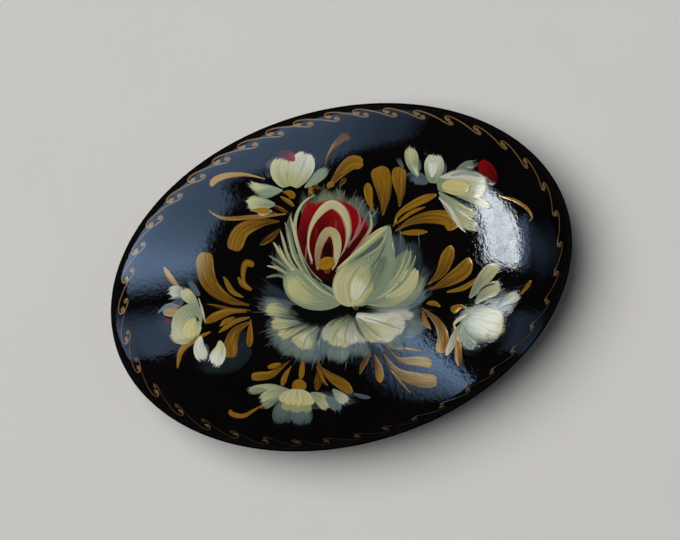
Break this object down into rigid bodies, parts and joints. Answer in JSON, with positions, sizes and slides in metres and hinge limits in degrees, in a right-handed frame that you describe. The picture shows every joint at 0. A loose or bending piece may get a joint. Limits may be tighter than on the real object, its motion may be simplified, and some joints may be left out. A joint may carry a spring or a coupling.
{
  "type": "oval painted brooch",
  "caption": "Oval domed brooch of lacquered papier-mache with a painted bouquet and scroll border, a hinged pin on the back and a turning safety catch.",
  "frame": {"origin": "under the middle of the oval, at the height of the lowest point of the catch on the back", "axes": "+X along the oval's long axis, from the hinge of the pin to its catch; +Y towards the edge that the pin sits nearer to; +Z out of the painted face"},
  "size_m": [0.065, 0.046, 0.0169],
  "materials": {
    "painted_lacquer": "gloss",
    "plain_lacquer": "gloss",
    "nickel_plate": "satin",
    "pin_steel": "polished",
    "burr_brass": "satin"
  },
  "bodies": {
    "brooch": {"shell": "painted_lacquer", "back_board": "plain_lacquer", "pin_bar": "nickel_plate", "bar_rivets": "nickel_plate", "rivet_burrs": "burr_brass", "catch_housing": "nickel_plate", "hinge_rivet": "pin_steel"},
    "pin": {"pin_stem": "pin_steel"},
    "catch": {"catch_rotor": "nickel_plate"}
  },
  "joints": [
    {"name": "pin_swing", "type": "hinge", "parent": "brooch", "child": "pin", "pos_m": [-0.0168, 0.005, 0.00253], "axis": [0, 1, 0], "range_deg": [0, 100]},
    {"name": "catch_turn", "type": "hinge", "parent": "brooch", "child": "catch", "pos_m": [0.0155, 0.005, 0.00253], "axis": [1, 0, 0], "range_deg": [0, 100]}
  ]
}
